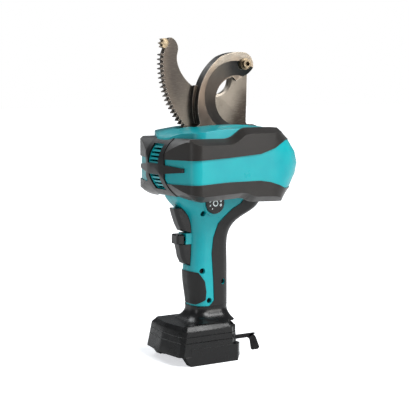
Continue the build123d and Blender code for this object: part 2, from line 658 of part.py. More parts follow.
with BuildPart() as speed_dial:
    rod(DIAL_X, DIAL_RADIUS, DIAL_CENTRE)
    rod((9.5, DIAL_X[0]), DIAL_SHAFT_RADIUS, DIAL_CENTRE)
    fillet(speed_dial.faces().sort_by(Axis.X)[-1].edges(), 1.2)
finish(speed_dial, "speed_dial")

with BuildPart() as release_lever:
    with BuildSketch(Plane.YZ.offset(RELEASE_X[0])) as lever_side:
        with BuildLine():
            Polyline((74, 257.2), (76, 259), (82, 258.9), (93, 255), (93.5, 252.6), (87.5, 253.4), close=True)
        make_face()
    extrude(lever_side.sketch, amount=RELEASE_X[1] - RELEASE_X[0])
finish(release_lever, "release_lever")

with BuildPart() as switch_unit:
    add(block((-10, 10), (SWITCH_FRONT, 26), (104, 162)))
    add(block((-7, 7), (13, 24), (96, 104)))
finish(switch_unit, "switch_unit")

# ---------------------------------------------------------------- battery foot
CAP_PLAN = [(0, -51), (36, -46.5), (FOOT_HALF, -42), (FOOT_HALF, 21), (31, 31), (0, 31)]
CAP_TOP_PLAN = [(0, -45), (35, -41), (FOOT_HALF - 1.5, -37), (FOOT_HALF - 1.5, 20), (30, 29.5), (0, 29.5)]
CAP_ROOF_PLAN = [(0, -42.5), (30, -38), (34, -34), (34, 17), (26, 26), (0, 26)]
CAP_LEVELS = [(11.0, CAP_PLAN), (38.0, CAP_TOP_PLAN), (43.0, CAP_ROOF_PLAN)]
CAP_WALL = 3.0
FLARE = [(43, 6.5, 31, 30, 20), (46, 8, 25.5, 26.5, 17), (51, 9, 20.5, 23.8, 15.5), (60, 9.4, 18.9, 22.9, 15)]
HOOK_X = (28.5, 31.7)
HOOK_SCREW = (30.1, 24.0)
FOOT_SCREWS = [(x, y) for x in (-34, 34) for y in (-24, 16)]


def plan_polygon(points, inset):
    """A mirrored outline in X and Y, pulled in by inset."""
    full = points + [(-x, y) for x, y in reversed(points[1:-1])]
    with BuildSketch(mode=Mode.PRIVATE) as outline:
        with BuildLine():
            Polyline(*full, close=True)
        make_face()
        if inset:
            offset(amount=-inset, kind=Kind.INTERSECTION)
    return outline.sketch


def cap_form(inset):
    """The foot's cap: a tapered box with a V prow and a hipped roof."""
    with BuildPart() as form:
        for (low_z, low), (high_z, high) in zip(CAP_LEVELS, CAP_LEVELS[1:]):
            top_z = high_z - inset if high_z == CAP_LEVELS[-1][0] else high_z
            loft([on_plane(plan_polygon(low, inset), Plane.XY.offset(low_z)),
                  on_plane(plan_polygon(high, inset), Plane.XY.offset(top_z))], ruled=True)
    return form.part


with BuildPart() as flare_form:
    for z, centre, half_x, half_y, corner in FLARE:
        with BuildSketch(Plane.XY.offset(z)):
            with Locations((0, centre)):
                RectangleRounded(2 * half_x, 2 * half_y, corner)
    loft()

with BuildPart() as foot_cap:
    add(cap_form(0))
    add(flare_form.part)
    add(cap_form(CAP_WALL), mode=Mode.SUBTRACT)
    # Floor of the prow, and pillars for the four screws.
    add(block((-36, 36), (-47, FOOT_FRONT), (11, 14)) & cap_form(0))
    for x, y in FOOT_SCREWS:
        with Locations((x, y, FOOT_SEAM_Z)):
            Cylinder(3.6, 20, align=UPRIGHT)
    with Locations((*HOOK_SCREW, FOOT_SEAM_Z)):
        Cylinder(5, 20, align=UPRIGHT)
    add(block((-80, 80), (FOOT_FRONT, 80), (0, FOOT_SEAM_Z)), mode=Mode.SUBTRACT)
    add(grip_form(0, bottom=HOUSING_BOTTOM), mode=Mode.SUBTRACT)
    add(block((HOOK_X[0], HOOK_X[1]), (18, 60), (21.6, 26.5)), mode=Mode.SUBTRACT)
    for x, y in FOOT_SCREWS:
        with Locations((x, y, FOOT_SEAM_Z)):
            Cylinder(SCREW_RADIUS, 14, align=UPRIGHT, mode=Mode.SUBTRACT)
    with Locations((*HOOK_SCREW, 20)):
        Cylinder(1.8, 20, align=UPRIGHT, mode=Mode.SUBTRACT)
    with Locations((*HOOK_SCREW, 37)):
        Cylinder(3.7, 10, align=UPRIGHT, mode=Mode.SUBTRACT)
finish(foot_cap, "foot_cap")

BASE_PROFILE = [(FOOT_FRONT, 0), (-40.5, 11), (FOOT_FRONT, 11), (FOOT_FRONT, FOOT_SEAM_Z),
                (FOOT_REAR, FOOT_SEAM_Z), (FOOT_REAR, 4), (FOOT_REAR - 1, 4), (FOOT_REAR - 6, 0)]
with BuildPart() as foot_base:
    add(prism_x(BASE_PROFILE, FOOT_HALF))
    chamfer(foot_base.edges().filter_by(Axis.Z).group_by(Axis.Y)[-1], 6)
    battery_slot = block((-BATTERY_SLOT_HALF, BATTERY_SLOT_HALF), (-60, 27), (-1, BATTERY_SLOT_HEIGHT))
    add(battery_slot, mode=Mode.SUBTRACT)
    # Rails that the battery's shoulders run on.
    for side in (-1, 1):
        inner = BATTERY_SLOT_HALF - RAIL_LIP[0]
        x_span = (inner, BATTERY_SLOT_HALF) if side > 0 else (-BATTERY_SLOT_HALF, -inner)
        add(block(x_span, (-30, 27), (0, RAIL_LIP[1])))
    for x, y in FOOT_SCREWS:
        with Locations((x, y, -1)):
            Cylinder(SCREW_RADIUS, 30, align=UPRIGHT, mode=Mode.SUBTRACT)
            Cylinder(SCREW_HEAD_RADIUS + 0.2, 4, align=UPRIGHT, mode=Mode.SUBTRACT)
    add(block((-22, 22), (6, 26), (BATTERY_SLOT_HEIGHT - 1, 30)), mode=Mode.SUBTRACT)
finish(foot_base, "foot_base")

with BuildPart() as foot_screws:
    for x, y in FOOT_SCREWS:
        with Locations((x, y, 1)):
            Cylinder(SCREW_HEAD_RADIUS, 2, align=UPRIGHT)
        with Locations((x, y, 3)):
            Cylinder(SCREW_RADIUS, 28, align=UPRIGHT)
finish(foot_screws, "foot_screws")

with BuildPart() as terminal_block:
    add(block((-22, 22), (6, 26), (BATTERY_SLOT_HEIGHT - 1, FOOT_SEAM_Z + 3)))
    add(block((-19, 19), (9, 24), (4, BATTERY_SLOT_HEIGHT - 1)))
    for x in (-14, -5, 5, 14):
        add(block((x - 1.6, x + 1.6), (5, 22), (3, 9)), mode=Mode.SUBTRACT)
finish(terminal_block, "terminal_block")

with BuildPart() as terminals:
    for x in (-14, -5, 5, 14):
        add(block((x - 0.5, x + 0.5), (10, 22), (3.5, 9)))
finish(terminals, "terminals")

with BuildPart() as controller_board:
    add(block((-26, 26), (-18, 24), (FOOT_SEAM_Z + 3, FOOT_SEAM_Z + 4.6)))
    for x, y in ((-18, -8), (-6, -8), (6, -8), (18, -8)):
        add(block((x - 4, x + 4), (y - 4, y + 4), (FOOT_SEAM_Z + 4.6, FOOT_SEAM_Z + 10)))
    with Locations((-14, 10, FOOT_SEAM_Z + 4.6), (14, 10, FOOT_SEAM_Z + 4.6)):
        Cylinder(5, 11, align=UPRIGHT)
finish(controller_board, "controller_board")

# Belt hook: a flat bar that comes out of the foot's rear wall and turns down.
with BuildPart() as belt_hook:
    with BuildSketch(Plane.YZ.offset(HOOK_X[0])) as hook_plan:
        with BuildLine():
            Polyline((19, 22), (19, 26.4), (47, 26.4))
            ThreePointArc((47, 26.4), (54, 24.2), (57.4, 19))
            Polyline((57.4, 19), (61.5, 9), (59.5, 7), (51.5, 7), (51, 8.5), (49.5, 17))
            ThreePointArc((49.5, 17), (47.5, 20.6), (43.5, 22))
            Line((43.5, 22), (19, 22))
        make_face()
    extrude(hook_plan.sketch, amount=HOOK_X[1] - HOOK_X[0])
finish(belt_hook, "belt_hook")

with BuildPart() as hook_screw:
    with Locations((*HOOK_SCREW, 27)):
        Cylinder(1.75, 12, align=UPRIGHT)
    with Locations((*HOOK_SCREW, 37)):
        Cylinder(3.6, 2.6, align=UPRIGHT)
    with Locations((*HOOK_SCREW, 38.2)):
        Cylinder(1.6, 3, align=UPRIGHT, mode=Mode.SUBTRACT)
finish(hook_screw, "hook_screw")

# ---------------------------------------------------------------- housing
# Height span and rear limit of each cut for the triggers; the highest one stops before the screw boss.
WINDOW_REAR = -5.0
TRIGGER_WINDOWS = [(LOWER_TRIGGER_Z[0] - TRIGGER_GAP, LOWER_TRIGGER_Z[1] + TRIGGER_GAP, WINDOW_REAR),
                   (UPPER_TRIGGER_Z[0] - TRIGGER_GAP, BOSS_NOTCH[1], WINDOW_REAR),
                   (BOSS_NOTCH[1], UPPER_TRIGGER_Z[1] + TRIGGER_GAP, SCREW_POINTS[0][0] - BOSS_RADIUS - 0.2)]
BOSSES = []
for centre in SCREW_POINTS:
    with BuildPart() as boss:
        rod((-30, 30), BOSS_RADIUS, centre)
        add(GRIP_OUTER, mode=Mode.INTERSECT)
    BOSSES.append(boss.part)
LEDGES = [block(x_span, y_span, (184, 194))
          for x_span in ((FAR_PLATE_X[0] - 3, FAR_PLATE_X[1] + 1), (10.5, NEAR_PLATE_X[1]))
          for y_span in ((-14, -3), (46, 60), (62, 76))]
LOCK_BOSS = block((-8.5, 8.5), (-21, -8), (LOCK_Z[0] - 0.6, LOCK_Z[1] + 0.8))
DIAL_WELL = cylinder_x((DIAL_X[0] - 2.5, 24.4), WELL_RADIUS, DIAL_CENTRE)
OPENINGS = [cylinder_x((DIAL_X[0], 40), DIAL_RADIUS + RUNNING_GAP, DIAL_CENTRE),
            cylinder_x((10, DIAL_X[0]), DIAL_SHAFT_RADIUS + RUNNING_GAP, DIAL_CENTRE),
            block((-7, 7), (-60, -5), (LOCK_Z[0] + 3, LOCK_Z[1] - 3)),
            block((-80, 80), (-80, 130), (0, HOUSING_BOTTOM))]
for low, high, rear in TRIGGER_WINDOWS:
    window_x = (-TRIGGER_HALF - TRIGGER_GAP, TRIGGER_HALF + TRIGGER_GAP)
    OPENINGS.append(block(window_x, (-60, rear), (low, high)))
for z_span in (UPPER_WINDOW_Z, LOWER_WINDOW_Z):
    for step in range(int((z_span[1] - z_span[0]) / VENT_PITCH)):
        z = z_span[0] + 1.6 + step * VENT_PITCH
        OPENINGS.append(block((-WINDOW_HALF + 1, WINDOW_HALF - 1), (-80, -30), (z, z + VENT_SLOT)))
for centre in SCREW_POINTS:
    OPENINGS.append(cylinder_x((-16, 12), SCREW_RADIUS, centre))
    OPENINGS.append(cylinder_x((12, 60), SCREW_HEAD_RADIUS + 0.2, centre))

with BuildPart() as housing:
    for piece in (HEAD_BAND, GRIP_OUTER, LOCK_BOSS):
        add(piece)
    for piece in (HEAD_INNER, GRIP_INNER):
        add(piece, mode=Mode.SUBTRACT)
    for piece in LEDGES + [DIAL_WELL] + BOSSES:
        add(piece)
    for piece in [UPPER_BUMPER, LOWER_BUMPER, COVER_SPACE, BLADE_SPACE, nose_grille.part] + OPENINGS:
        add(piece, mode=Mode.SUBTRACT)
finish(housing, "housing")
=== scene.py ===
import json
import math

import bmesh
import bpy
from mathutils import Matrix, Vector
from mathutils.bvhtree import BVHTree

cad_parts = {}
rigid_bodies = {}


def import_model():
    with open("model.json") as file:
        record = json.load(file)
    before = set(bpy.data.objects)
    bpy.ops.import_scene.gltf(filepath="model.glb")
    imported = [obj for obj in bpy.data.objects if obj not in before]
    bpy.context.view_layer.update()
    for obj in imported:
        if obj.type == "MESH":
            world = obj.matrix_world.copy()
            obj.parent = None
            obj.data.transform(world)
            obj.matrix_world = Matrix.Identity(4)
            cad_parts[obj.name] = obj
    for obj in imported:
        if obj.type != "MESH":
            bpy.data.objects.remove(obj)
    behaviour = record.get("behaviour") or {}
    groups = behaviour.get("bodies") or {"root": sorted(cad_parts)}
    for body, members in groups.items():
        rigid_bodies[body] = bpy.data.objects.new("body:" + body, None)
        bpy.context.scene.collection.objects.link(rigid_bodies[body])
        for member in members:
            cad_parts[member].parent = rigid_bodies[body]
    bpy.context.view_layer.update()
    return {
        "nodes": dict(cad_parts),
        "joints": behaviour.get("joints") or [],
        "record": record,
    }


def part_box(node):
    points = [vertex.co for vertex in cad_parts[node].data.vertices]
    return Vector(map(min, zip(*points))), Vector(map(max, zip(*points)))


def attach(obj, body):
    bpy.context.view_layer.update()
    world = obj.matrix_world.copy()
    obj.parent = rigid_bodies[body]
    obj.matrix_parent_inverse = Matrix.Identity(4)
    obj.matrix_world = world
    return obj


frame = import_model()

# Looks for the cordless cable cutter. Metres, +Z up, the tool faces -Y, its left side is +X.
NODES = frame["nodes"]
MM = 0.001

# Blender's default objects, if the script starts in its default file
for spare in [o for o in bpy.data.objects if o.type in ("CAMERA", "LIGHT") or o.name == "Cube"]:
    bpy.data.objects.remove(spare)


# ---------------------------------------------------------------- places read from the frame
def joint(name):
    """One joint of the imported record."""
    return next(j for j in frame["joints"] if j["name"] == name)


HINGE = Vector(joint("blade_hinge")["pos_m"])
DIAL = Vector(joint("dial_turn")["pos_m"])
DIAL_LOW, DIAL_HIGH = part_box("speed_dial")
DIAL_RADIUS = (DIAL_HIGH.z - DIAL_LOW.z) / 2
BORE_CENTRE = HINGE + Vector((0, -4.5 * MM, -39 * MM))    # the middle of the jaw's round opening
TOOTH_ROOT = 95 * MM              # radius about the hinge where the blade's teeth begin
PALE_BAND_START = 85 * MM               # radius about the hinge where the paler band near the teeth begins
GRIND_ANGLE = math.radians(38)    # lean of the blade's grinding marks
PAINTED_LIGHT_LEAN = -0.55                 # the blade's painted reflection and painted shade follow Y plus this much of Z
# spans along that lean: the blade's painted reflection grows pale over the first, and its painted shade grows
# dark over the second
PAINTED_SHEEN_SPAN = (-190 * MM, -120 * MM)
PAINTED_SHADE_SPAN = (-105 * MM, -75 * MM)
# heights between which painted shade darkens the jaw's ground face downwards
JAW_PAINTED_SHADE = (HINGE.z + 11 * MM, HINGE.z - 21 * MM, HINGE.z - 51 * MM)
FOOT_GROOVES = (32.5 * MM, 25.8 * MM)    # heights of the two grooves round the foot
GROOVE_HALF = 0.3 * MM                   # half the width of a groove
SEAM_HALF = 0.18 * MM                    # half the width of the seam between the housing's halves


# ---------------------------------------------------------------- node helpers
def linear(red, green, blue):
    """A colour given as 0-255 display values, as linear RGBA."""
    def one(value):
        value /= 255
        return value / 12.92 if value <= 0.04045 else ((value + 0.055) / 1.055) ** 2.4
    return (one(red), one(green), one(blue), 1.0)


class Look:
    """A node-built material: each method adds one layer and returns an output socket."""

    def __init__(self, name, **constants):
        self.material = bpy.data.materials.new(name)
        self.material.use_nodes = True
        self.tree = self.material.node_tree
        self.shader = self.tree.nodes["Principled BSDF"]
        for label, value in constants.items():
            self.shader.inputs[label.replace("_", " ")].default_value = value
        self.heights = None
        self.position = self.node("ShaderNodeTexCoord").outputs["Object"]

    def node(self, kind, inputs=None, **settings):
        """One node; each input is linked if it is a socket, and set if it is a value."""
        made = self.tree.nodes.new(kind)
        for key, value in settings.items():
            setattr(made, key, value)
        for key, value in (inputs or {}).items():
            if isinstance(value, bpy.types.NodeSocket):
                self.tree.links.new(value, made.inputs[key])
            else:
                made.inputs[key].default_value = value
        return made

    def maths(self, operation, first, second=0.0, third=0.0):
        """A sum, product or other operation on up to three values."""
        return self.node("ShaderNodeMath", {0: first, 1: second, 2: third}, operation=operation).outputs[0]

    def axis(self, letter):
        """The X, Y or Z place in metres."""
        return self.node("ShaderNodeSeparateXYZ", {0: self.position}).outputs[letter]

    def stretched(self, scale, rotation=(0, 0, 0)):
        """The place, scaled along each axis and turned, for marks that run one way."""
        inputs = {"Vector": self.position, "Scale": scale, "Rotation": rotation}
        return self.node("ShaderNodeMapping", inputs).outputs[0]

    def noise(self, scale, detail=3.0, roughness=0.55, vector=None, distortion=0.0):
        """Fractal noise from 0 to 1; scale is in cells per metre."""
        inputs = {"Vector": vector or self.position, "Scale": scale, "Detail": detail,
                  "Roughness": roughness, "Distortion": distortion}
        return self.node("ShaderNodeTexNoise", inputs).outputs["Fac"]

    def cells(self, scale):
        """Distance to the nearest point of a scattered set, for a stipple."""
        made = self.node("ShaderNodeTexVoronoi", {"Vector": self.position, "Scale": scale}, feature="F1")
        return made.outputs["Distance"]

    def span(self, value, low, high, out_low=0.0, out_high=1.0, smooth=False):
        """Maps low to high onto out_low to out_high, and holds the value past both ends."""
        kind = "SMOOTHSTEP" if smooth else "LINEAR"
        return self.node("ShaderNodeMapRange", {"Value": value, "From Min": low, "From Max": high,
                                                "To Min": out_low, "To Max": out_high},
                         interpolation_type=kind).outputs[0]

    def band(self, value, low, high, soft):
        """1 between low and high, 0 outside, with soft edges."""
        rise = self.span(value, low - soft, low + soft, smooth=True)
        fall = self.span(value, high - soft, high + soft, 1.0, 0.0, smooth=True)
        return self.maths("MULTIPLY", rise, fall)

    def mix(self, factor, first, second):
        """Blends two colours; 6, 7 and 2 are the node's colour sockets."""
        made = self.node("ShaderNodeMix", {"Factor": factor}, data_type="RGBA", blend_type="MIX")
        for slot, value in ((6, first), (7, second)):
            if isinstance(value, bpy.types.NodeSocket):
                self.tree.links.new(value, made.inputs[slot])
            else:
                made.inputs[slot].default_value = value
        return made.outputs[2]

    def edges(self, radius, low=0.02, high=0.25):
        """A mask along convex and concave edges, from the difference between the rounded and true normal."""
        rounded = self.node("ShaderNodeBevel", {"Radius": radius}, samples=4).outputs[0]
        true = self.node("ShaderNodeNewGeometry").outputs["Normal"]
        dot = self.node("ShaderNodeVectorMath", {0: rounded, 1: true}, operation="DOT_PRODUCT")
        return self.span(dot.outputs["Value"], 1 - low, 1 - high)

    def facing(self, direction, low, high):
        """A mask for faces that point along a direction of the object's own frame."""
        true = self.node("ShaderNodeNewGeometry").outputs["True Normal"]
        own = self.node("ShaderNodeVectorTransform", {0: true}, vector_type="NORMAL", convert_from="WORLD",
                        convert_to="OBJECT").outputs[0]
        dot = self.node("ShaderNodeVectorMath", {0: own, 1: direction}, operation="DOT_PRODUCT")
        return self.span(dot.outputs["Value"], low, high)

    def radius_from(self, centre):
        """Distance in the YZ plane from a centre."""
        flat = self.node("ShaderNodeVectorMath", {0: self.position, 1: tuple(centre)},
                         operation="SUBTRACT").outputs[0]
        flat = self.node("ShaderNodeVectorMath", {0: flat, 1: (0, 1, 1)}, operation="MULTIPLY").outputs[0]
        return self.node("ShaderNodeVectorMath", {0: flat}, operation="LENGTH").outputs["Value"]

    def raise_by(self, height, distance, strength=1.0):
        """Adds one bump layer; distance is its depth in metres."""
        inputs = {"Height": height, "Distance": distance, "Strength": strength}
        if self.heights is not None:
            inputs["Normal"] = self.heights
        self.heights = self.node("ShaderNodeBump", inputs).outputs[0]

    def done(self, colour, roughness):
        """Links the finished layers to the shader and returns the material."""
        self.tree.links.new(colour, self.shader.inputs["Base Color"])
        self.tree.links.new(roughness, self.shader.inputs["Roughness"])
        if self.heights is not None:
            self.tree.links.new(self.heights, self.shader.inputs["Normal"])
        return self.material


# ---------------------------------------------------------------- materials
def moulded(name, colour, shade, roughness, grain=1400, depth=0.00002, seam=False, coat=0.0, wear=0.35,
             grooves=()):
    """Moulded plastic: fine grain, slow colour drift, paler rubbed edges.

    seam draws the joint of the two halves on the mid-plane, and grooves are the heights of dark lines round
    the whole part.
    """
    look = Look(name, Specular_IOR_Level=0.4, Coat_Weight=coat, Coat_Roughness=0.2, IOR=1.46)
    drift = look.noise(22, 4)
    base = look.mix(look.span(drift, 0.35, 0.7), colour, shade)
    light = tuple(min(1.0, c * 1.5 + 0.015) for c in colour[:3]) + (1.0,)
    scuffs = look.span(look.noise(330, 6, 0.7), 0.52, 0.72)
    edge = look.maths("MULTIPLY", look.edges(0.0009), look.maths("MULTIPLY_ADD", scuffs, 0.7, 0.3))
    base = look.mix(look.maths("MULTIPLY", edge, wear), base, light)
    specks = look.span(look.noise(900, 2), 0.66, 0.74)
    base = look.mix(look.maths("MULTIPLY", specks, 0.12), base, light)
    rough = look.span(look.noise(60, 5, 0.6), 0.3, 0.75, roughness - 0.07, roughness + 0.09)
    look.raise_by(look.noise(grain, 3, 0.6), depth, 0.6)
    look.raise_by(look.noise(160, 2), 0.00003, 0.25)
    for height in grooves:
        line = look.band(look.axis("Z"), height - GROOVE_HALF, height + GROOVE_HALF, 0.25 * MM)
        base = look.mix(look.maths("MULTIPLY", line, 0.7), base, (0.001, 0.001, 0.001, 1))
        look.raise_by(look.maths("SUBTRACT", 1.0, line), 0.0007, 1.0)
    if seam:
        gap = look.band(look.axis("X"), -SEAM_HALF, SEAM_HALF, 0.12 * MM)
        base = look.mix(look.maths("MULTIPLY", gap, 0.75), base, (0.004, 0.02, 0.024, 1))
        look.raise_by(look.maths("SUBTRACT", 1.0, gap), 0.0004, 0.8)
    return look.done(base, rough)


def rubbery(name, colour, dust, roughness, cell, depth):
    """Rubber with a stippled face and a little pale dust in it."""
    look = Look(name, Specular_IOR_Level=0.32, Sheen_Weight=0.12, Sheen_Roughness=0.5)
    drift = look.span(look.noise(35, 5, 0.65), 0.35, 0.75)
    base = look.mix(look.maths("MULTIPLY", drift, 0.55), colour, dust)
    edge = look.edges(0.001)
    base = look.mix(look.maths("MULTIPLY", edge, 0.3), base, dust)
    look.raise_by(look.cells(cell), depth, 0.55)
    look.raise_by(look.noise(cell * 0.35, 4), depth * 0.8, 0.35)
    rough = look.span(look.noise(120, 4), 0.3, 0.7, roughness - 0.08, roughness + 0.06)
    return look.done(base, rough)


def blade_steel():
    """Ground blade: brown-grey steel with painted reflection and painted shade, palest in the middle and
    darkest low at the rear, with diagonal grinding marks and a paler band near the teeth."""
    look = Look("blade_steel", Metallic=0.85, Specular_IOR_Level=0.5, Anisotropic=0.35)
    marks = look.noise(1.0, 5, 0.7, look.stretched((200, 160, 2600), (GRIND_ANGLE, 0, 0)), 0.15)
    fine = look.noise(1.0, 3, 0.6, look.stretched((400, 300, 6500), (GRIND_ANGLE, 0, 0)))
    fall = look.maths("ADD", look.axis("Y"), look.maths("MULTIPLY", look.axis("Z"), PAINTED_LIGHT_LEAN))
    fall = look.maths("MULTIPLY_ADD", look.noise(25, 3), 30 * MM, fall)
    # painted reflection and painted shade: pale in the middle of the flat face, darkest low at the rear
    base = look.mix(look.span(fall, *PAINTED_SHEEN_SPAN, smooth=True), linear(58, 53, 49), linear(112, 105, 96))
    base = look.mix(look.span(fall, *PAINTED_SHADE_SPAN, smooth=True), base, linear(44, 36, 31))
    radius = look.radius_from(HINGE)
    pale_band = look.span(radius, PALE_BAND_START, PALE_BAND_START + 12 * MM, smooth=True)
    # a paler band towards the teeth
    base = look.mix(look.maths("MULTIPLY", pale_band, 0.35), base, linear(110, 99, 88))
    toothed = look.span(radius, TOOTH_ROOT, TOOTH_ROOT + 1.2 * MM, smooth=True)
    base = look.mix(look.maths("MULTIPLY", toothed, 0.8), base, linear(62, 54, 49))
    base = look.mix(look.span(marks, 0.5, 0.72, 0.0, 0.3), base, linear(150, 143, 132))
    stains = look.span(look.noise(90, 6, 0.7), 0.56, 0.74, 0.0, 0.4)
    base = look.mix(stains, base, linear(58, 49, 42))
    base = look.mix(look.maths("MULTIPLY", look.edges(0.0006), 0.5), base, linear(225, 220, 210))
    look.raise_by(marks, 0.00005, 0.45)
    look.raise_by(fine, 0.00002, 0.4)
    rough = look.span(marks, 0.3, 0.7, 0.30, 0.48)
    return look.done(base, rough)


def jaw_steel():
    """Forged jaw: dark scale on its sides, and a near face ground bright, with rings about its opening, on
    which painted shade darkens the face downwards."""
    look = Look("jaw_steel", Specular_IOR_Level=0.5)
    radius = look.radius_from(BORE_CENTRE)
    rings = look.node("ShaderNodeTexNoise", {"W": look.maths("MULTIPLY", radius, 1900.0), "Scale": 1.0,
                                             "Detail": 2.0}, noise_dimensions="1D").outputs["Fac"]
    bright, half, dark = JAW_PAINTED_SHADE
    scale = look.mix(look.span(look.noise(80, 6, 0.7), 0.35, 0.7), linear(24, 21, 20), linear(46, 41, 37))
    ground = look.mix(look.span(rings, 0.4, 0.65), linear(118, 110, 99), linear(160, 152, 141))
    ground = look.mix(look.span(look.noise(60, 5), 0.5, 0.75, 0.0, 0.5), ground, linear(150, 128, 104))
    # painted shade: the ground face grows darker towards the bottom
    low = look.maths("MULTIPLY_ADD", look.noise(40, 4), 12 * MM, look.axis("Z"))
    ground = look.mix(look.span(low, bright, half, smooth=True), ground, linear(112, 98, 86))
    ground = look.mix(look.span(low, half, dark, smooth=True), ground, linear(66, 58, 52))
    near = look.facing((1, 0, 0), 0.88, 0.96)
    base = look.mix(near, scale, ground)
    look.tree.links.new(look.span(near, 0.0, 1.0, 0.35, 0.85), look.shader.inputs["Metallic"])
    base = look.mix(look.maths("MULTIPLY", look.edges(0.0007), 0.55), base, linear(220, 214, 204))
    look.raise_by(rings, 0.00006, 0.35)
    look.raise_by(look.noise(500, 4, 0.7), 0.00006, 0.4)
    rough = look.span(look.noise(140, 4), 0.3, 0.7, 0.33, 0.52)
    return look.done(base, rough)


def plated(name, colour, dark, roughness, turned=0.0):
    """Small metal parts: slight tarnish, bright edges, and fine scratches, which turned makes stronger."""
    look = Look(name, Metallic=0.9, Specular_IOR_Level=0.5)
    base = look.mix(look.span(look.noise(180, 5, 0.65), 0.4, 0.7), colour, dark)
    bright = tuple(min(1.0, c * 1.8 + 0.05) for c in colour[:3]) + (1.0,)
    base = look.mix(look.maths("MULTIPLY", look.edges(0.0004), 0.6), base, bright)
    scratches = look.noise(1.0, 3, 0.7, look.stretched((900, 900, 5200), (0.3, 0.5, 0)))
    look.raise_by(scratches, 0.00002, 0.35 + turned)
    rough = look.span(look.noise(300, 4), 0.3, 0.7, roughness - 0.08, roughness + 0.1)
    return look.done(base, rough)


def ink(name, colour):
    """Printed ink with worn spots."""
    look = Look(name, Specular_IOR_Level=0.4)
    worn = look.span(look.noise(1500, 3), 0.5, 0.8, 0.0, 0.35)
    dull = tuple(c * 0.7 for c in colour[:3]) + (1.0,)
    look.raise_by(look.noise(2500, 2), 0.00001, 0.4)
    return look.done(look.mix(worn, colour, dull), look.span(worn, 0, 1, 0.45, 0.6))


TEAL = moulded("teal_shell", linear(0, 152, 158), linear(0, 138, 148), 0.34, seam=True, coat=0.12)
LOOKS = {
    "housing_teal": TEAL,
    "bumper_dark": rubbery("bumper_dark", linear(22, 19, 17), linear(36, 32, 29), 0.36, 1500, 0.00003),
    "frame_black": moulded("frame_black", linear(17, 17, 18), linear(12, 12, 13), 0.34, wear=0.2),
    "grip_rubber": rubbery("grip_rubber", linear(9, 9, 9), linear(18, 17, 17), 0.46, 900, 0.00009),
    "foot_black": moulded("foot_black", linear(14, 14, 15), linear(9, 9, 10), 0.28, 1100, 0.00003, wear=0.3,
                          grooves=FOOT_GROOVES),
    "control_black": moulded("control_black", linear(4, 3, 5), linear(2, 2, 3), 0.2, 900, 0.000008,
                             coat=0.15, wear=0.15),
    "blade_steel": blade_steel(),
    "jaw_steel": jaw_steel(),
    "bolt_brass": plated("bolt_plated", linear(128, 115, 94), linear(78, 68, 55), 0.34, 0.2),
    "fastener_steel": plated("fastener_steel", linear(40, 39, 40), linear(26, 25, 26), 0.36),
    "gear_steel": plated("gear_steel", linear(150, 148, 146), linear(96, 92, 88), 0.33, 0.2),
    "motor_metal": plated("motor_metal", linear(170, 172, 176), linear(120, 122, 126), 0.36, 0.3),
    "board_green": moulded("board_green", linear(30, 110, 60), linear(22, 84, 48), 0.35, wear=0.1),
    "contact_brass": plated("contact_brass", linear(214, 176, 96), linear(160, 124, 60), 0.3),
}

# ---------------------------------------------------------------- CAD nodes: materials, shading, soft edges
SHARP_ANGLE = math.radians(32)    # an edge that turns more than this is rounded
OTHER_EDGES = 0.15
EDGE_WIDTHS = {    # mm
    "bumper_upper": 0.9, "bumper_lower": 0.9, "top_cover": 1.0, "nose_grille": 0.5, "housing": 0.35,
    "foot_cap": 0.7, "foot_base": 0.4, "fixed_jaw": 0.45, "moving_blade": 0.18, "belt_hook": 0.5,
    "hinge_bolt": 0.3, "release_lever": 0.6, "speed_dial": 0.3, "lock_button": 0.3,
    "upper_trigger": 0.7, "lower_trigger": 0.7,
}


def soften(thing, width):
    """Welds split corners, rounds the sharp edges by a width in mm and shades the faces smoothly."""
    mesh = thing.data
    if "custom_normal" in mesh.attributes:
        mesh.attributes.remove(mesh.attributes["custom_normal"])
    mesh.polygons.foreach_set("use_smooth", [True] * len(mesh.polygons))
    weld = thing.modifiers.new("weld", "WELD")
    weld.merge_threshold = 2e-6
    rounding = thing.modifiers.new("rounding", "BEVEL")
    rounding.width = width * MM
    rounding.segments = 3
    rounding.limit_method = "ANGLE"
    rounding.angle_limit = SHARP_ANGLE
    rounding.use_clamp_overlap = True
    rounding.miter_outer = "MITER_ARC"
    weights = thing.modifiers.new("normals", "WEIGHTED_NORMAL")
    weights.weight = 60
    weights.keep_sharp = True


for row in frame["record"]["subparts"]:
    thing = NODES[row["node"]]
    thing.data.materials.clear()
    thing.data.materials.append(LOOKS[row["material_slot"]])
    soften(thing, EDGE_WIDTHS.get(row["node"], OTHER_EDGES))


# ---------------------------------------------------------------- small pieces
def piece(name, mesh_maker, body, material, width=0.1):
    """Makes a piece from bmesh code, gives it its material and lets it ride on a body."""
    form = bmesh.new()
    mesh_maker(form)
    bmesh.ops.recalc_face_normals(form, faces=form.faces)
    mesh = bpy.data.meshes.new(name)
    form.to_mesh(mesh)
    form.free()
    made = bpy.data.objects.new(name, mesh)
    bpy.context.scene.collection.objects.link(made)
    mesh.materials.append(material)
    soften(made, width)
    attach(made, body)
    return made


def surface_tree(node):
    """A ray-cast tree of a CAD node's mesh."""
    form = bmesh.new()
    form.from_mesh(NODES[node].data)
    tree = BVHTree.FromBMesh(form)
    form.free()
    return tree


INK_HEIGHT = 0.12 * MM
DOTS, DOT_STEP, FIRST_DOT = 8, math.radians(36), math.radians(235)
RIBS, RIB_SIZE = 30, (2.2 * MM, 0.7 * MM, 0.9 * MM)


def on_dial(x, reach, angle):
    """A point at height x along the dial's axis, at a radius and an angle about it."""
    return Vector((x, DIAL.y + reach * math.cos(angle), DIAL.z + reach * math.sin(angle)))


def disc(form, place, normal, radius, height, steps=16):
    """A low disc with a slanted rim that stands on a surface."""
    turn = normal.to_track_quat("Z", "Y").to_matrix().to_4x4()
    matrix = Matrix.Translation(place + normal * height / 2) @ turn
    bmesh.ops.create_cone(form, cap_ends=True, segments=steps, radius1=radius, radius2=radius * 0.92,
                          depth=height, matrix=matrix)


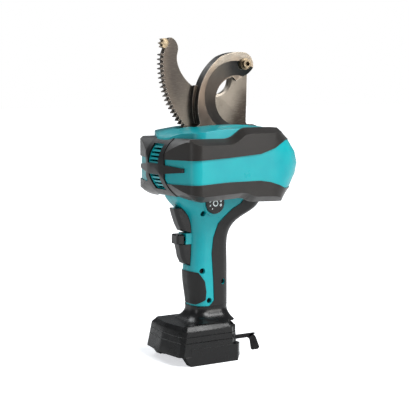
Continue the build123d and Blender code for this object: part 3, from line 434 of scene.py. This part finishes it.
def dial_marks(form):
    """Dots printed on the dial's face, growing in size as the speed does."""
    for step in range(DOTS):
        place = on_dial(DIAL_HIGH.x, DIAL_RADIUS * 0.62, FIRST_DOT - step * DOT_STEP)
        disc(form, place, Vector((1, 0, 0)), (0.75 + 0.1 * step) * MM, INK_HEIGHT)


def dial_ribs(form):
    """Ribs round the dial's rim."""
    for step in range(RIBS):
        angle = 2 * math.pi * step / RIBS
        place = on_dial(DIAL_HIGH.x - 1.6 * MM, DIAL_RADIUS - 0.05 * MM, angle)
        matrix = Matrix.Translation(place) @ Matrix.Rotation(angle, 4, "X")
        bmesh.ops.create_cube(form, size=1, matrix=matrix @ Matrix.Diagonal((*RIB_SIZE, 1)))


def dial_ring(form):
    """A plain closed ring printed in the middle of the dial."""
    inner, outer, steps = DIAL_RADIUS * 0.2, DIAL_RADIUS * 0.3, 24
    rows = []
    for step in range(steps):
        angle = 2 * math.pi * step / steps
        rows.append([form.verts.new(on_dial(DIAL_HIGH.x + height, reach, angle))
                     for reach in (inner, outer) for height in (0.0, INK_HEIGHT)])
    for near, far in zip(rows, rows[1:] + rows[:1]):
        for first, second in ((0, 1), (1, 3), (3, 2), (2, 0)):
            form.faces.new((near[first], near[second], far[second], far[first]))


def ridge(form, path, width, height, tree):
    """A low bar, narrower at its top, that follows a path of X and Y laid on a surface from above."""
    above, down, last = 0.4, Vector((0, 0, -1)), len(path) - 1
    rows = []
    for step, (x, y) in enumerate(path):
        place, normal, _, _ = tree.ray_cast(Vector((x, y, above)), down)
        ahead = Vector((*path[min(step + 1, last)], 0)) - Vector((*path[max(step - 1, 0)], 0))
        side = normal.cross(ahead.normalized()).normalized() * width / 2
        sink = normal * -0.3 * MM
        rise = normal * height
        section = (side + sink, side * 0.5 + rise, side * -0.5 + rise, -side + sink)
        rows.append([form.verts.new(place + corner) for corner in section])
    for near, far in zip(rows, rows[1:]):
        for first, second in ((0, 1), (1, 2), (2, 3), (3, 0)):
            form.faces.new((near[first], near[second], far[second], far[first]))
    form.faces.new(rows[0])
    form.faces.new(reversed(rows[-1]))


def curve_points(corners, steps=10):
    """Points along a smooth curve through the corners (a Catmull-Rom spline), in X and Y."""
    def between(p, q, r, s, t):
        return 0.5 * (2 * q + (r - p) * t + (2 * p - 5 * q + 4 * r - s) * t * t
                      + (3 * q - p - 3 * r + s) * t ** 3)

    points = []
    ends = [corners[0]] + corners + [corners[-1]]
    for a, b, c, d in zip(ends, ends[1:], ends[2:], ends[3:]):
        for step in range(steps):
            points.append(tuple(between(*four, step / steps) for four in zip(a, b, c, d)))
    points.append(corners[-1])
    return points


COVER = surface_tree("top_cover")
CREASE = [(49.5, -8), (45, -2), (38, 8), (33, 24), (29, 46)]    # X, Y in mm along the cover's crease
NOTCH_SHADE = [(30.5, 36), (29, 46), (35, 47)]                        # and round the notch at its end, where a black strip is painted shade for the slot
WHITE_INK = ink("white_ink", linear(225, 230, 230))
piece("dial_marks", dial_marks, "dial", WHITE_INK, 0.02)
piece("dial_ring", dial_ring, "dial", WHITE_INK, 0.02)
piece("dial_ribs", dial_ribs, "dial", LOOKS["control_black"], 0.15)
for side, label in ((1, "left"), (-1, "right")):
    crease = [(side * x * MM, y * MM) for x, y in curve_points(CREASE)]
    notch_shade = [(side * x * MM, y * MM) for x, y in curve_points(NOTCH_SHADE, 5)]
    piece("cover_crease_" + label, lambda form: ridge(form, crease, 1.8 * MM, 0.45 * MM, COVER), "root",
          TEAL, 0.1)
    # a thin black strip laid on the cover as painted shade where the notch's slot is
    piece("cover_notch_" + label, lambda form: ridge(form, notch_shade, 1.0 * MM, 0.12 * MM, COVER), "root",
          LOOKS["frame_black"], 0.05)


# ---------------------------------------------------------------- stage, light and camera
FLOOR_REACH = 12.0
FLOOR_GLOW = 0.62             # makes the floor read as white to the camera without lighting the tool
AMBIENT = 0.2
MIDDLE = (0, 0.02, 0.2)       # what the lamps point at
LAMPS = (                     # name, place, size, power, tint
    ("key", (1.5, 0.85, 0.62), (0.5, 0.7), 11, (1, 0.985, 0.96)),
    ("fill", (0.5, -1.9, 0.7), (0.3, 1.0), 7, (1, 1, 1)),
    ("rim", (-1.2, -0.4, 1.6), (0.8, 0.8), 12, (0.95, 0.98, 1.0)),
    ("top", (0.8, 0.95, 1.55), (0.35, 0.5), 9, (1, 1, 1)),
)
DAYLIGHT_FROM, DAYLIGHT_POWER, DAYLIGHT_ANGLE = (0.85, 0.3, 0.95), 3.0, math.radians(30)
CAMERA_PLACE = (1.0451, -0.6203, 0.3037)
CAMERA_TURN, CAMERA_DOWN = math.radians(59), math.radians(6.2)
LENS_MM, SENSOR_MM, SEES_TO = 96.8, 36, 50


def floor_sheet():
    """A wide pale floor."""
    look = Look("floor", Specular_IOR_Level=0.1, Emission_Color=(0.96, 0.97, 1.0, 1))
    seen = look.node("ShaderNodeLightPath").outputs["Is Camera Ray"]
    look.tree.links.new(look.maths("MULTIPLY", seen, FLOOR_GLOW), look.shader.inputs["Emission Strength"])
    drift = look.span(look.noise(2, 2), 0.3, 0.7)
    material = look.done(look.mix(drift, (0.78, 0.785, 0.79, 1), (0.80, 0.805, 0.81, 1)),
                         look.span(drift, 0, 1, 0.85, 0.95))
    mesh = bpy.data.meshes.new("floor")
    corners = [(x * FLOOR_REACH, y * FLOOR_REACH, 0) for x, y in ((-1, -1), (1, -1), (1, 1), (-1, 1))]
    mesh.from_pydata(corners, [], [(0, 1, 2, 3)])
    mesh.materials.append(material)
    floor = bpy.data.objects.new("floor", mesh)
    bpy.context.scene.collection.objects.link(floor)


def lamp_holder(name, lamp, place, target):
    """An object for a lamp that stands at a place and points at a target."""
    holder = bpy.data.objects.new(name, lamp)
    bpy.context.scene.collection.objects.link(holder)
    holder.location = place
    holder.rotation_euler = (Vector(target) - Vector(place)).to_track_quat("-Z", "Y").to_euler()


def area_light(name, place, size, power, tint):
    """A soft rectangular lamp that points at the tool's middle."""
    lamp = bpy.data.lights.new(name, "AREA")
    lamp.shape = "RECTANGLE"
    lamp.size, lamp.size_y = size
    lamp.energy = power
    lamp.color = tint
    lamp_holder(name, lamp, place, MIDDLE)


def surround():
    """A dim even world for the light on the tool, seen by the camera as a white backdrop."""
    world = bpy.data.worlds.new("surround")
    bpy.context.scene.world = world
    world.use_nodes = True
    tree = world.node_tree
    ambient = tree.nodes["Background"]
    ambient.inputs["Color"].default_value = (0.93, 0.97, 1.0, 1.0)
    ambient.inputs["Strength"].default_value = AMBIENT
    backdrop = tree.nodes.new("ShaderNodeBackground")
    backdrop.inputs["Color"].default_value = (1.0, 1.0, 1.0, 1.0)
    backdrop.inputs["Strength"].default_value = 1.0
    choose = tree.nodes.new("ShaderNodeMixShader")
    tree.links.new(tree.nodes.new("ShaderNodeLightPath").outputs["Is Camera Ray"], choose.inputs[0])
    tree.links.new(ambient.outputs[0], choose.inputs[1])
    tree.links.new(backdrop.outputs[0], choose.inputs[2])
    tree.links.new(choose.outputs[0], tree.nodes["World Output"].inputs["Surface"])


def studio():
    """Key from the left rear, fill from the front, rim from the far side, a top lamp and a broad soft sun."""
    surround()
    for row in LAMPS:
        area_light(*row)
    sun = bpy.data.lights.new("daylight", "SUN")
    sun.energy = DAYLIGHT_POWER
    sun.angle = DAYLIGHT_ANGLE
    lamp_holder("daylight", sun, DAYLIGHT_FROM, (0, 0, 0))


def camera():
    """The photograph's viewpoint: from the tool's left and a little in front, looking slightly down."""
    lens = bpy.data.cameras.new("camera")
    lens.sensor_width = SENSOR_MM
    lens.lens = LENS_MM
    lens.clip_end = SEES_TO
    holder = bpy.data.objects.new("camera", lens)
    bpy.context.scene.collection.objects.link(holder)
    holder.location = CAMERA_PLACE
    holder.rotation_euler = (math.radians(90) - CAMERA_DOWN, 0, CAMERA_TURN)
    bpy.context.scene.camera = holder


floor_sheet()
studio()
camera()
bpy.context.scene.view_settings.view_transform = "Standard"
bpy.context.scene.view_settings.look = "None"

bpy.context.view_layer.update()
